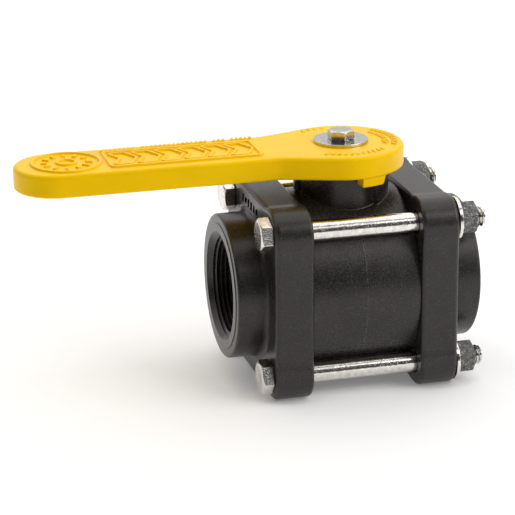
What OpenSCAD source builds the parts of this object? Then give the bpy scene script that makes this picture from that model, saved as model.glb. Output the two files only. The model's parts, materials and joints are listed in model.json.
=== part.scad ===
// Bolted plastic ball valve, 1-1/2 inch, full bore, with a lever handle.
// Origin at the centre of the ball. X runs along the pipe, Z up the stem.
// The lever lies along the pipe and points to -X when the valve is open.

/* [Ball and seats] */
// Radius of the ball
ball_r = 28.5; // [28:0.1:29]
// Radius of the clear way through ball, seats and end caps
way_r = 19.05; // [18:0.05:19.5]
// Outer radius of a seat ring
seat_r = 27; // [26.5:0.1:27.2]
// Distance from the ball's centre to the front of a seat ring
seat_front_x = 14.5; // [14:0.1:15]
// Distance from the ball's centre to the back of a seat ring
seat_back_x = 24; // [23.6:0.1:24.4]

/* [Body] */
// Outer radius of the body
body_r = 43.2; // [42.8:0.1:43.4]
// Distance from the ball's centre to either end of the body
body_end_x = 25.7; // [25.2:0.1:26.2]
// Radius of the chamber that the ball turns in
chamber_r = 30; // [29.5:0.1:30.5]
// Radius of the round boss that carries the stem
boss_r = 20.5; // [20:0.1:21]
// Height of the boss's top above the ball's centre
boss_top_z = 53.9; // [53:0.1:54.2]
// Outer radius of the two stop ribs on the boss
rib_r = 22.2; // [22:0.1:22.8]
// Angle that each stop rib takes up round the boss
rib_sweep = 44; // [20:1:50]

/* [End caps] */
// Half the width of the square flange, across the pipe
flange_half_y = 45.15; // [44.5:0.05:46]
// Half the height of the square flange
flange_half_z = 45.3; // [44.5:0.05:46]
// Thickness of the flange
flange_t = 17.9; // [17:0.1:19]
// Radius of the flange's corners
corner_r = 12; // [9:0.5:13]
// How far each side of the flange dips between its corner pads
side_dip = 0.7; // [0.3:0.1:1]
// Radius of the round collar that holds the pipe thread
collar_r = 33.9; // [33:0.1:34.5]
// Distance from the ball's centre to the face of a collar
face_x = 58.8; // [57:0.1:60]
// Radius of the hole that the pipe thread is cut in, at its crests
thread_r = 22.25; // [22.2:0.05:22.6]
// Depth of the threaded hole
thread_depth = 24; // [20:0.5:24]
// Radius of the spigot that centres an end cap in the body
spigot_r = 34; // [33.8:0.1:34.2]
// Distance from the ball's centre to the end of the spigot
spigot_end_x = 16.5; // [16.3:0.1:17]

/* [Stem] */
// Radius of the stem in the boss
stem_r = 9; // [8.8:0.1:9]
// Radius of the stem's shoulder
shoulder_r = 12; // [11.5:0.1:12.5]
// Width of the tang that turns the ball
tang_w = 7.4; // [7:0.1:7.6]
// Width across the flats of the square drive
drive_af = 12.6; // [12:0.1:12.7]

/* [Handle] */
// Radius of the round hub
hub_r = 29.2; // [28.6:0.1:31]
// Half the width of the arm
arm_half = 19.4; // [18:0.1:21]
// Distance from the stem to the tip of the arm
arm_reach = 153; // [150:0.1:160]
// Height of the handle's underside
handle_z = 54.6; // [54.4:0.1:55]
// Height of the handle's top face
handle_top_z = 65.3; // [65:0.1:66]
// Depth of the stop lug below the hub
lug_drop = 4.1; // [3:0.1:4.5]
// Angle that the stop lug takes up round the hub
lug_sweep = 26; // [20:1:40]

/* [Fasteners] */
// Distance from the middle to a bolt, across the pipe and upwards
bolt_pitch = 34.1; // [34.1:0.1:35]
// Nominal diameter of the bolts, 3/8 inch
bolt_d = 9.525; // [9.3:0.005:9.6]
// Width across the flats of the bolt heads and nuts
hex_af = 14.29; // [14:0.01:15]
// Height of a bolt head
head_h = 5.7; // [5:0.1:7]
// Distance from the ball's centre to the end of a bolt
bolt_end_x = 58; // [57:0.1:59]
// Outer diameter of a flat washer
washer_d = 20.6; // [19:0.1:21]
// Thickness of a flat washer
washer_t = 1.6; // [1.2:0.1:2]
// Height of a nut
nut_h = 8.4; // [7:0.1:9]
// Diameter of the handle washer
big_washer_d = 25.4; // [24:0.1:28]
// Thickness of the handle washer
big_washer_t = 1.5; // [1:0.1:2]
// Width across the flats of the handle screw, 1/4 inch
screw_af = 11.11; // [11:0.01:11.3]
// Height of the handle screw's head
screw_head_h = 4.3; // [4:0.1:4.5]

/* [Hidden] */
$fn = 96;
eps = 0.01;
fit = 0.05;                                  // radial clearance of parts that slide together
corners = ["front_top", "front_bottom", "back_top", "back_bottom"];
corner_at = [[-1, 1], [-1, -1], [1, 1], [1, -1]];
head_turn = [0, 2, -1, 14];                  // how far each bolt head is turned from corner up
nut_turn = [3, -4, 26, 10];                  // the same for each nut
flange_out_x = body_end_x + flange_t;
chamber_end_x = spigot_end_x - 0.2;          // bottom of the counterbore that takes the spigot
pocket_r = seat_r + fit;
seat_ring_r = 23.2;                          // centre line of the ring behind a seat
seat_ring_d = 2.4;
body_ring_d = 2;
body_ring_x = 21.2;
body_ring_r = spigot_r - body_ring_d / 2;
stem_ring_d = 2;
stem_ring_r = stem_r - stem_ring_d / 2;
stem_ring_z = [39.5, 45.5];
groove_gap = 0.2;                            // side room of a ring in its groove
shoulder_z = 29.4;
shoulder_top_z = 33;
thrust_t = 1.5;
pocket_top_z = shoulder_top_z + thrust_t + fit;
slot_z = 22.6;                               // floor of the ball's slot
tang_z = slot_z + 0.3;
tang_l = 15;
slot_w = tang_w + 0.6;
stem_top_z = handle_top_z - 1;
open_stop_a = 300.5;                         // where the rib starts that stops the open handle
lug_a = 300 - lug_sweep;
lug_in_r = boss_r + 0.7;                      // runs round the boss and meets the ribs
lug_out_r = hub_r - 0.8;
screw_d = 6.2;
screw_l = 20;
clearance_hole_d = 10;                       // bolt holes in the flanges
thread_end_x = face_x - thread_depth;
mouth_l = 1.8;                               // length of the chamfer at the mouth of a thread
foot_h = 1.2;                                // height of the cone round the foot of a collar
foot_w = 2.6;                                // how far that cone reaches out on the flange

// A cylinder along X from x0 to x1
module rod_x(r, x0, x1) {
    translate([x0, 0, 0]) rotate([0, 90, 0]) cylinder(h = x1 - x0, r = r);
}

// A ring of round section on the X axis
module ring_x(r, d, x) {
    translate([x, 0, 0]) rotate([0, 90, 0])
        rotate_extrude() translate([r, 0]) circle(d = d, $fn = 32);
}

// A ring of round section on the Z axis
module ring_z(r, d, z) {
    translate([0, 0, z]) rotate_extrude() translate([r, 0]) circle(d = d, $fn = 32);
}

// A sector of a tube round Z, between two radii and two heights
module sector(r0, r1, z0, z1, from, sweep) {
    translate([0, 0, z0]) rotate([0, 0, from])
        rotate_extrude(angle = sweep) translate([r0, 0]) square([r1 - r0, z1 - z0]);
}

// A hexagon along X whose corners are cut off at 30 degrees, at either end or both
module hex_x(af, x0, x1, bevel_low, bevel_high) {
    cone_h = x1 - x0 + 1;
    flat_r = af / 2 - 0.4;
    wide_r = flat_r + cone_h / tan(30);
    intersection() {
        translate([x0, 0, 0]) rotate([0, 90, 0]) cylinder(h = x1 - x0, d = af / cos(30), $fn = 6);
        if (bevel_low) {
            translate([x0, 0, 0]) rotate([0, 90, 0]) cylinder(h = cone_h, r1 = flat_r, r2 = wide_r);
        }
        if (bevel_high) {
            translate([x1, 0, 0]) rotate([0, -90, 0]) cylinder(h = cone_h, r1 = flat_r, r2 = wide_r);
        }
    }
}

// Turns a shape made on the +X side round to the side asked for
module on_side(s) {
    if (s < 0) {
        rotate([0, 0, 180]) children();
    } else {
        children();
    }
}

module body() {
    color("#3a3a3c")
    difference() {
        union() {
            rod_x(body_r, -body_end_x, body_end_x);
            cylinder(h = boss_top_z, r = boss_r);
            for (a = [open_stop_a, lug_a - 90 - rib_sweep - 0.5]) {
                sector(boss_r - 3, rib_r, chamber_r + 5, boss_top_z, a, rib_sweep);
            }
        }
        rod_x(chamber_r, -body_end_x - 1, body_end_x + 1);
        for (s = [-1, 1]) {
            on_side(s) rod_x(spigot_r + fit, chamber_end_x, body_end_x + 1);
        }
        cylinder(h = pocket_top_z, r = shoulder_r + fit);
        cylinder(h = boss_top_z + 1, r = stem_r + fit);
    }
}

// The square flange: four corner pads with one round corner each, and dipped sides between them
module flange_plate() {
    pad = 18;
    pad_mid_y = flange_half_y - pad / 2;
    pad_mid_z = flange_half_z - pad / 2;
    translate([body_end_x, 0, 0]) rotate([90, 0, 90]) linear_extrude(flange_t) {
        square([2 * (flange_half_y - side_dip), 2 * (flange_half_z - pad)], center = true);
        square([2 * (flange_half_y - pad), 2 * (flange_half_z - side_dip)], center = true);
        for (sy = [-1, 1], sz = [-1, 1]) {
            translate([sy * (flange_half_y - corner_r), sz * (flange_half_z - corner_r)])
                circle(r = corner_r);
            translate([sy * (pad_mid_y - corner_r / 2), sz * pad_mid_z])
                square([pad - corner_r, pad], center = true);
            translate([sy * pad_mid_y, sz * (pad_mid_z - corner_r / 2)])
                square([pad, pad - corner_r], center = true);
        }
    }
}

// One end cap, made on the +X side
module end_cap() {
    groove_x = seat_back_x + seat_ring_d + eps;
    ring_side = body_ring_d / 2 + groove_gap;
    difference() {
        union() {
            flange_plate();
            rod_x(collar_r, body_end_x + 1, face_x);
            translate([flange_out_x - eps, 0, 0]) rotate([0, 90, 0])
                cylinder(h = foot_h, r1 = collar_r + foot_w, r2 = collar_r + foot_w - foot_h);
            rod_x(spigot_r, spigot_end_x, body_end_x + 1);
        }
        rod_x(thread_r, thread_end_x, face_x + 1);
        translate([face_x - mouth_l, 0, 0]) rotate([0, 90, 0])
            cylinder(h = mouth_l + eps, r1 = thread_r, r2 = thread_r + mouth_l + 0.05);
        rod_x(way_r, spigot_end_x - 1, face_x);
        rod_x(pocket_r, spigot_end_x - 1, seat_back_x);
        difference() {
            rod_x(seat_ring_r + seat_ring_d / 2 + groove_gap, seat_back_x - eps, groove_x);
            rod_x(seat_ring_r - seat_ring_d / 2 - groove_gap, seat_back_x - 1, groove_x + 1);
        }
        difference() {
            rod_x(spigot_r + 1, body_ring_x - ring_side, body_ring_x + ring_side);
            rod_x(body_ring_r - body_ring_d / 2 - eps, spigot_end_x - 1, body_end_x);
        }
        for (i = [0:3]) {
            at_corner(i) rod_x(clearance_hole_d / 2, body_end_x - 1, flange_out_x + 1);
        }
    }
}

module end_cap_left() {
    color("#3a3a3c") on_side(-1) end_cap();
}

module end_cap_right() {
    color("#3a3a3c") end_cap();
}

module ball() {
    color("#e8e6e0")
    difference() {
        sphere(r = ball_r);
        rod_x(way_r, -ball_r - 1, ball_r + 1);
        translate([-slot_w / 2, -ball_r, slot_z]) cube([slot_w, 2 * ball_r, ball_r]);
    }
}

// One seat ring, made on the +X side, with a hollow face that fits the ball
module seat() {
    color("#f4f2ec")
    difference() {
        rod_x(seat_r, seat_front_x, seat_back_x);
        sphere(r = ball_r + fit);
        rod_x(way_r + 0.25, seat_front_x - 1, seat_back_x + 1);
    }
}

module seat_left() {
    on_side(-1) seat();
}

module seat_right() {
    seat();
}

module seat_oring(side) {
    mid_x = seat_back_x + seat_ring_d / 2 + eps / 2;
    color("#1c1c1c") ring_x(seat_ring_r, seat_ring_d, side * mid_x);
}

module body_oring(side) {
    color("#1c1c1c") ring_x(body_ring_r, body_ring_d, side * body_ring_x);
}

module stem() {
    color("#2e2e30")
    difference() {
        union() {
            translate([-tang_w / 2, -tang_l / 2, tang_z]) cube([tang_w, tang_l, shoulder_z - tang_z + 1]);
            translate([0, 0, shoulder_z]) cylinder(h = shoulder_top_z - shoulder_z, r = shoulder_r);
            translate([0, 0, shoulder_top_z - 1]) cylinder(h = boss_top_z - shoulder_top_z + 1, r = stem_r);
            translate([-drive_af / 2, -drive_af / 2, boss_top_z - 1])
                cube([drive_af, drive_af, stem_top_z - boss_top_z + 1]);
        }
        for (z = stem_ring_z) {
            difference() {
                translate([0, 0, z - stem_ring_d / 2 - groove_gap])
                    cylinder(h = stem_ring_d + 2 * groove_gap, r = stem_r + 1);
                translate([0, 0, z - stem_ring_d])
                    cylinder(h = 2 * stem_ring_d, r = stem_ring_r - stem_ring_d / 2 - eps);
            }
        }
        translate([0, 0, handle_top_z + big_washer_t - screw_l - 2])
            cylinder(h = screw_l + 3, d = screw_d + 2 * fit);
    }
}

module stem_thrust_washer() {
    color("#f4f2ec")
    translate([0, 0, shoulder_top_z])
    difference() {
        cylinder(h = thrust_t, r = shoulder_r - fit);
        translate([0, 0, -1]) cylinder(h = thrust_t + 2, r = stem_r + fit);
    }
}

module stem_oring(i) {
    color("#1c1c1c") ring_z(stem_ring_r, stem_ring_d, stem_ring_z[i]);
}

// The handle seen from above: hub, two straight flanks that touch the hub, arm and round tip
module handle_outline() {
    flank_x = -34;
    reach = sqrt(flank_x * flank_x + arm_half * arm_half);
    touch_a = atan2(arm_half, flank_x) - acos(hub_r / reach);
    touch = [hub_r * cos(touch_a), hub_r * sin(touch_a)];
    circle(r = hub_r);
    translate([-arm_reach + arm_half, 0]) circle(r = arm_half);
    translate([-arm_reach + arm_half, -arm_half]) square([arm_reach - arm_half, 2 * arm_half]);
    polygon([[0, 0], [flank_x, arm_half], touch, [touch[0], -touch[1]], [flank_x, -arm_half]]);
}

module handle() {
    core_wall = 5;
    core_depth = 3.5;
    core_x = [-133, -99, -65];
    core_l = 30;
    color("#f2c21a")
    difference() {
        union() {
            translate([0, 0, handle_z]) linear_extrude(handle_top_z - handle_z) handle_outline();
            sector(lug_in_r, lug_out_r, handle_z - lug_drop, handle_z + 1, lug_a, lug_sweep);
        }
        translate([-drive_af / 2 - fit, -drive_af / 2 - fit, handle_z - 1])
            cube([drive_af + 2 * fit, drive_af + 2 * fit, handle_top_z - handle_z + 2]);
        for (x = core_x) {
            translate([x, core_wall - arm_half, handle_z - 1])
                cube([core_l, 2 * (arm_half - core_wall), core_depth + 1]);
        }
    }
}

module handle_washer() {
    color("#c9c9c9")
    translate([0, 0, handle_top_z])
    difference() {
        cylinder(h = big_washer_t, d = big_washer_d);
        translate([0, 0, -1]) cylinder(h = big_washer_t + 2, d = screw_d + 0.4);
    }
}

module handle_screw() {
    color("#c9c9c9")
    translate([0, 0, handle_top_z + big_washer_t]) rotate([0, -90, 0]) {
        rotate([30, 0, 0]) hex_x(screw_af, 0, screw_head_h, false, true);
        rod_x(screw_d / 2, -screw_l, 1);
    }
}

// A bolt, washer or nut is made on the X axis and put in its corner
module at_corner(i) {
    translate([0, corner_at[i][0] * bolt_pitch, corner_at[i][1] * bolt_pitch]) children();
}

module bolt(i) {
    color("#c9c9c9") {
        rod_x(bolt_d / 2, -flange_out_x - 1, bolt_end_x);
        rotate([head_turn[i], 0, 0]) hex_x(hex_af, -flange_out_x - head_h, -flange_out_x, true, false);
    }
}

module washer() {
    color("#c9c9c9")
    difference() {
        rod_x(washer_d / 2, flange_out_x, flange_out_x + washer_t);
        rod_x(bolt_d / 2 + 0.4, flange_out_x - 1, flange_out_x + washer_t + 1);
    }
}

module nut(i) {
    x0 = flange_out_x + washer_t;
    color("#5a5b5c")
    difference() {
        rotate([nut_turn[i], 0, 0]) hex_x(hex_af, x0, x0 + nut_h, true, true);
        rod_x(bolt_d / 2 + fit, x0 - 1, x0 + nut_h + 1);
    }
}

body();
end_cap_left();
end_cap_right();
ball();
seat_left();
seat_right();
seat_oring(-1);  // seat_oring_left
seat_oring(1);  // seat_oring_right
body_oring(-1);  // body_oring_left
body_oring(1);  // body_oring_right
stem();
stem_thrust_washer();
stem_oring(0);  // stem_oring_lower
stem_oring(1);  // stem_oring_upper
handle();
handle_washer();
handle_screw();
for (i = [0:3]) {
    at_corner(i) bolt(i);
    at_corner(i) washer();
    at_corner(i) nut(i);
}
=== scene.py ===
import json
from math import acos, atan2, cos, hypot, pi, radians, sin, sqrt, tan

import bmesh
import bpy
from mathutils import Matrix, Vector


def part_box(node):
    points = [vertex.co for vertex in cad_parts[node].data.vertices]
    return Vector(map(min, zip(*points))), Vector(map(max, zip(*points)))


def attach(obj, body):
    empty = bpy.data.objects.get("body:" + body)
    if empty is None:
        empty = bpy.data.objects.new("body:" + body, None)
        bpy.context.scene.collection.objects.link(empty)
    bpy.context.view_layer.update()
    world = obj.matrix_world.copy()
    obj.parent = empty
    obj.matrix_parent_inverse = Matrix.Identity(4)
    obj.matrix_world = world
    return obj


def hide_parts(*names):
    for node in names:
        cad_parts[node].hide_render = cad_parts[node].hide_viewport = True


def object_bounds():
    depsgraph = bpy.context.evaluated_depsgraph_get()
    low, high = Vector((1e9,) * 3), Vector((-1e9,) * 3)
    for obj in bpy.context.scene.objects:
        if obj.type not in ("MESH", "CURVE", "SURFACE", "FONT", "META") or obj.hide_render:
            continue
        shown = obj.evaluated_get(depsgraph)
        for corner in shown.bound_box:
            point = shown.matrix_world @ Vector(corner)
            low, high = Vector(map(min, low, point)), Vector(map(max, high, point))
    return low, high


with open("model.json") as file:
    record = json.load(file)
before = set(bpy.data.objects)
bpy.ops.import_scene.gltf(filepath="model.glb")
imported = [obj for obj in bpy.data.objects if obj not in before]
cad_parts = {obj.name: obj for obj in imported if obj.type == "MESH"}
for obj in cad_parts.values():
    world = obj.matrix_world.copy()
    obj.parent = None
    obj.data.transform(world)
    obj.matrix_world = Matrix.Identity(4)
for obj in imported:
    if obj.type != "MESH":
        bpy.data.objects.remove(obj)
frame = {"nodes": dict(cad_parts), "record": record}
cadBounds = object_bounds()
scene = bpy.context.scene
mm = 0.001
cornerNames = ("front_top", "front_bottom", "back_top", "back_bottom")
print("frame loaded with", len(frame["nodes"]), "nodes")


def boxMm(node):
    low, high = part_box(node)
    return low / mm, high / mm


def mountRadius(name):
    return next(m for m in frame["record"]["mounts"] if m["name"] == name)["dims"]["r_mm"]


bodyHigh = boxMm("body")[1]
capLow, capHigh = boxMm("end_cap_right")
washerLow = boxMm("washer_back_top")[0]
boltHigh = boxMm("bolt_back_top")[1]
handleLow, handleHigh = boxMm("handle")
screwLow, screwHigh = boxMm("handle_screw")
hubWasherLow, hubWasherHigh = boxMm("handle_washer")

valve = {
    "bodyEnd": bodyHigh.x, "bodyRadius": bodyHigh.y, "bossTop": bodyHigh.z,
    "flangeOut": washerLow.x, "faceAt": capHigh.x, "spigotEnd": capLow.x,
    "halfY": capHigh.y, "halfZ": capHigh.z,
    "crestRadius": mountRadius("port_right"), "wayRadius": mountRadius("flow_bore"),
    "tipAt": handleLow.x, "hubRadius": handleHigh.x, "handleTop": handleHigh.z,
}


def boltPlace(corner):
    low, high = boxMm("washer_" + corner)
    return (low.y + high.y) / 2, (low.z + high.z) / 2


class Wire:  # a node's socket that takes part in sums
    def __init__(self, graph, socket):
        self.graph, self.socket = graph, socket

    def maths(self, operation, *others):
        return self.graph.maths(operation, self, *others)

    def __add__(self, other):
        return self.maths("ADD", other)

    def __radd__(self, other):
        return self.graph.maths("ADD", other, self)

    def __sub__(self, other):
        return self.maths("SUBTRACT", other)

    def __rsub__(self, other):
        return self.graph.maths("SUBTRACT", other, self)

    def __mul__(self, other):
        return self.maths("MULTIPLY", other)

    def __rmul__(self, other):
        return self.graph.maths("MULTIPLY", other, self)

    def __truediv__(self, other):
        return self.maths("DIVIDE", other)

    def __rtruediv__(self, other):
        return self.graph.maths("DIVIDE", other, self)

    def clamp(self, low=0.0, high=1.0):
        return self.maths("MAXIMUM", low).maths("MINIMUM", high)

    def steps(self, low, high):  # 0 below low, 1 above high, straight between
        return ((self - low) / (high - low)).clamp()

    def sibling(self, output):  # another output of the same node
        return Wire(self.graph, self.socket.node.outputs[output])


class Graph:
    def __init__(self, tree):
        self.tree = tree

    def add(self, kind, settings=None, sockets=None, output=0):
        node = self.tree.nodes.new(kind)
        for name, value in (settings or {}).items():
            setattr(node, name, value)
        for name, value in (sockets or {}).items():
            if isinstance(value, (Wire, list)):
                for wire in value if isinstance(value, list) else [value]:
                    self.tree.links.new(wire.socket, node.inputs[name])
            else:
                node.inputs[name].default_value = value
        return Wire(self, node.outputs[output])

    def maths(self, operation, *values):
        return self.add("ShaderNodeMath", {"operation": operation}, dict(enumerate(values)))

    def mix(self, factor, first, second):  # colours
        return self.add("ShaderNodeMix", {"data_type": "RGBA"}, {0: factor, 6: first, 7: second}, 2)

    def end(self, kind, sockets):
        node = self.tree.nodes.new(kind)
        for name, wire in sockets.items():
            self.tree.links.new(wire.socket, node.inputs[name])


def startMaterial(name):
    material = bpy.data.materials.new(name)
    material.use_nodes = True
    material.node_tree.nodes.clear()
    graph = Graph(material.node_tree)
    place = graph.add("ShaderNodeTexCoord", None, None, "Object")
    return material, graph, place


def noise(graph, place, scale, detail=2.0, roughness=0.5):
    return graph.add("ShaderNodeTexNoise", None, {
        "Vector": place, "Scale": scale, "Detail": detail, "Roughness": roughness})


def stretched(graph, place, scale):
    return graph.add("ShaderNodeMapping", None, {"Vector": place, "Scale": scale})


def endMaterial(graph, sockets, bumps=()):
    # each bump is a height, its depth in metres and its strength
    normal = None
    for height, distance, strength in bumps:
        wires = {"Height": height, "Distance": distance, "Strength": strength}
        if normal:
            wires["Normal"] = normal
        normal = graph.add("ShaderNodeBump", None, wires)
    if normal:
        sockets["Normal"] = normal
    shader = graph.add("ShaderNodeBsdfPrincipled", None, sockets)
    graph.end("ShaderNodeOutputMaterial", {"Surface": shader})


def mouldedBlack(name, dark, pale, dullness, pitting, seam=0.0):
    # glass filled plastic: a fine pitted skin, cloudy patches, pale glass specks and dull rubs
    material, graph, place = startMaterial(name)
    grain = noise(graph, place, 1500, roughness=0.6)
    clouds = noise(graph, place, 48, detail=4.0, roughness=0.55)
    specks = noise(graph, place, 1500, detail=1.0).steps(0.67, 0.75)
    dragged = stretched(graph, place, (1.0, 1.0, 0.3))
    streaks = noise(graph, dragged, 260, detail=5.0, roughness=0.7).steps(0.58, 0.72)
    rubs = streaks * clouds.steps(0.50, 0.62)
    tone = graph.mix((clouds * 0.4 + grain * 0.6).steps(0.36, 0.64), dark, pale)
    tone = graph.mix(specks * 0.30, tone, (0.15, 0.14, 0.13, 1))
    tone = graph.mix(rubs * 0.22, tone, (0.12, 0.115, 0.11, 1))
    if seam:  # a paler mould line round the middle, below the boss
        fromMiddle = graph.add("ShaderNodeSeparateXYZ", None, {0: place})
        line = 1 - fromMiddle.maths("ABSOLUTE").steps(seam * 0.4, seam * 1.4)
        line = line * (1 - fromMiddle.sibling(2).steps(0.036, 0.037))
        patches = noise(graph, place, 300).steps(0.42, 0.66)
        tone = graph.mix(line * patches * 0.35, tone, (0.14, 0.135, 0.13, 1))
    rough = dullness + (grain - 0.5) * (0.8 * pitting) + clouds * 0.06 + rubs * 0.08
    surface = {"Base Color": tone, "Roughness": rough.clamp(0.14, 0.9), "IOR": 1.47,
               "Specular Tint": (1.0, 0.95, 0.90, 1)}
    endMaterial(graph, surface, [(grain, 0.0002, pitting), (clouds, 0.0006, 0.10)])
    return material


def mouldedYellow():
    # thick glossy plastic with a slight orange peel, a flow pattern and light scuffs
    material, graph, place = startMaterial("yellowPlastic")
    peel = noise(graph, place, 900)
    flowing = stretched(graph, place, (0.5, 1.6, 1.0))
    swirl = noise(graph, flowing, 45, detail=3.0, roughness=0.6)
    dragged = stretched(graph, place, (0.3, 1.0, 1.0))
    scuffs = noise(graph, dragged, 420, detail=6.0, roughness=0.75).steps(0.62, 0.72)
    tone = graph.mix(swirl.steps(0.3, 0.7), (0.93, 0.545, 0.0008, 1), (0.98, 0.610, 0.0012, 1))
    tone = graph.mix(scuffs * 0.14, tone, (0.95, 0.74, 0.10, 1))
    rough = (0.32 + swirl * 0.10 + scuffs * 0.12).clamp(0.2, 0.8)
    surface = {"Base Color": tone, "Roughness": rough, "IOR": 1.46, "Specular Tint": (1.0, 0.75, 0.08, 1)}
    endMaterial(graph, surface, [(peel, 0.00012, 0.18), (swirl, 0.0006, 0.08)])
    return material


def drawnSteel(name, bright, dull, along, base, wear, forgedBelow=-1.0):
    # stainless stock: drawing lines, a cloudy bloom and small dark pits, rougher where x is below a limit
    material, graph, place = startMaterial(name)
    lines = noise(graph, stretched(graph, place, along), 900, detail=3.0, roughness=0.6)
    clouds = noise(graph, place, 420, detail=4.0, roughness=0.65)
    pits = noise(graph, place, 1250, detail=3.0, roughness=0.7).steps(0.57, 0.68)
    skin = noise(graph, place, 1500, roughness=0.6)
    lengthwise = graph.add("ShaderNodeSeparateXYZ", None, {0: place})
    forged = 1 - lengthwise.steps(forgedBelow, forgedBelow + 0.0002)
    tone = graph.mix(clouds.steps(0.38, 0.62), bright, dull)
    tone = graph.mix(pits * (0.40 * wear), tone, (0.22, 0.21, 0.20, 1))
    rough = base + clouds.steps(0.3, 0.8) * 0.05 + lines * 0.02 + pits * 0.08 + forged * 0.07
    surface = {"Base Color": tone, "Metallic": 1.0, "Roughness": rough.clamp(0.03, 0.8)}
    endMaterial(graph, surface, [(lines, 0.00008, 0.08), (skin, 0.00035, (0.11 + forged * 0.30) * wear),
                                 (pits, 0.00010, 0.20 * wear)])
    return material


def mottledSteel():
    # plated steel with a dark grainy finish broken by bright specks
    material, graph, place = startMaterial("mottledSteel")
    blotches = noise(graph, place, 620, detail=4.0, roughness=0.65)
    grit = noise(graph, place, 1900, roughness=0.6)
    specks = noise(graph, place, 1300, roughness=0.6).steps(0.58, 0.66)
    tone = graph.mix(blotches.steps(0.38, 0.62), (0.070, 0.069, 0.067, 1), (0.170, 0.167, 0.162, 1))
    tone = graph.mix(specks * 0.7, tone, (0.58, 0.57, 0.55, 1))
    rough = (0.42 + blotches * 0.18 - specks * 0.12).clamp(0.2, 0.9)
    metal = (0.60 + specks * 0.4).clamp()
    surface = {"Base Color": tone, "Metallic": metal, "Roughness": rough}
    endMaterial(graph, surface, [(grit, 0.0002, 0.35), (blotches, 0.0003, 0.3)])
    return material


def plainStock(name, dark, pale, dullness, scale, bump=0.15):
    # turned or moulded inner parts: light cloudiness and a fine skin
    material, graph, place = startMaterial(name)
    clouds = noise(graph, place, scale, detail=3.0, roughness=0.6)
    fine = noise(graph, place, scale * 14)
    tone = graph.mix(clouds.steps(0.3, 0.7), dark, pale)
    surface = {"Base Color": tone, "Roughness": (dullness + clouds * 0.12).clamp()}
    endMaterial(graph, surface, [(fine, 0.0001, bump)])
    return material


materials = {
    "black_plastic": mouldedBlack("blackPlastic", (0.011, 0.0103, 0.0096, 1), (0.026, 0.0247, 0.0230, 1),
                                  dullness=0.27, pitting=0.28),
    "seamed_plastic": mouldedBlack("seamedPlastic", (0.010, 0.0094, 0.0088, 1), (0.028, 0.0266, 0.0248, 1),
                                   dullness=0.24, pitting=0.50, seam=0.0003),
    "yellow_plastic": mouldedYellow(),
    "stainless": drawnSteel("stainless", (0.86, 0.83, 0.79, 1), (0.70, 0.67, 0.64, 1),
                            along=(0.06, 1.0, 1.0), base=0.03, wear=1.0,
                            forgedBelow=-valve["flangeOut"] * mm),
    "brushed_steel": drawnSteel("brushedSteel", (0.66, 0.64, 0.61, 1), (0.54, 0.52, 0.50, 1),
                                along=(1.0, 0.1, 1.0), base=0.14, wear=0.3),
    "dark_steel": mottledSteel(),
    "stem_plastic": plainStock("stemPlastic", (0.05, 0.05, 0.052, 1), (0.075, 0.075, 0.078, 1), 0.35, 90),
    "ball_plastic": plainStock("ballPlastic", (0.60, 0.58, 0.53, 1), (0.70, 0.68, 0.63, 1), 0.18, 70, 0.05),
    "seat_ptfe": plainStock("seatPtfe", (0.74, 0.73, 0.69, 1), (0.82, 0.81, 0.77, 1), 0.42, 80),
    "seal_rubber": plainStock("sealRubber", (0.012, 0.012, 0.012, 1), (0.022, 0.022, 0.022, 1), 0.55, 120),
}
print("materials made")


def newMesh(name, points, edges=(), faces=()):
    mesh = bpy.data.meshes.new(name)
    mesh.from_pydata(points, edges, faces)
    return mesh


def addObject(name, mesh):
    obj = bpy.data.objects.new(name, mesh)
    scene.collection.objects.link(obj)
    return obj


def clean(obj, reach=0.002):
    # merges doubles, drops slivers and turns the faces outwards
    work = bmesh.new()
    work.from_mesh(obj.data)
    bmesh.ops.remove_doubles(work, verts=work.verts, dist=reach)
    bmesh.ops.dissolve_degenerate(work, edges=work.edges, dist=reach / 4)
    bmesh.ops.recalc_face_normals(work, faces=work.faces)
    work.to_mesh(obj.data)
    work.free()


def flatten(obj):
    # puts the evaluated shape in the object's own mesh and takes its modifiers off
    bpy.context.view_layer.update()
    evaluated = obj.evaluated_get(bpy.context.evaluated_depsgraph_get())
    mesh = bpy.data.meshes.new_from_object(evaluated)
    obj.modifiers.clear()
    obj.data = mesh
    return obj


def loft(name, rings, capped=False):
    # a skin through rings of equally many points, closed by rings shrunk to a point or by flat caps
    count = len(rings[0])
    points = [point for ring in rings for point in ring]
    faces = []
    for row in range(len(rings) - 1):
        for step in range(count):
            a = row * count + step
            b = row * count + (step + 1) % count
            faces.append((a, b, b + count, a + count))
    if capped:
        faces += [tuple(range(count)), tuple(range(len(points) - count, len(points)))]
    obj = addObject(name, newMesh(name, points, faces=faces))
    clean(obj)
    return obj


def combine(target, operation, *tools):
    # joins closed solids to the target or cuts it with them, and uses them up
    for tool in tools:
        modifier = target.modifiers.new("join", "BOOLEAN")
        modifier.operation = operation
        modifier.solver = "MANIFOLD"
        modifier.object = tool
        flatten(target)
        bpy.data.objects.remove(tool)


def bevel(obj, width, segments=2, angle=42):
    modifier = obj.modifiers.new("edges", "BEVEL")
    modifier.width = width
    modifier.segments = segments
    modifier.limit_method = "ANGLE"
    modifier.angle_limit = radians(angle)
    modifier.harden_normals = False
    return flatten(obj)


def finishPiece(obj, body, slot, node, smooth=32):
    # scales to metres, sets the material and keeps wide faces flat beside their rounded edges
    mesh = obj.data
    mesh.transform(Matrix.Scale(mm, 4))
    mesh.materials.clear()
    mesh.materials.append(materials[slot])
    for face in mesh.polygons:
        face.use_smooth = True
        face.material_index = 0
    mesh.set_sharp_from_angle(angle=radians(smooth))
    weighting = obj.modifiers.new("flatFaces", "WEIGHTED_NORMAL")
    weighting.keep_sharp = True
    flatten(obj)
    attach(obj, body)
    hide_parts(node)
    return obj


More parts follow.
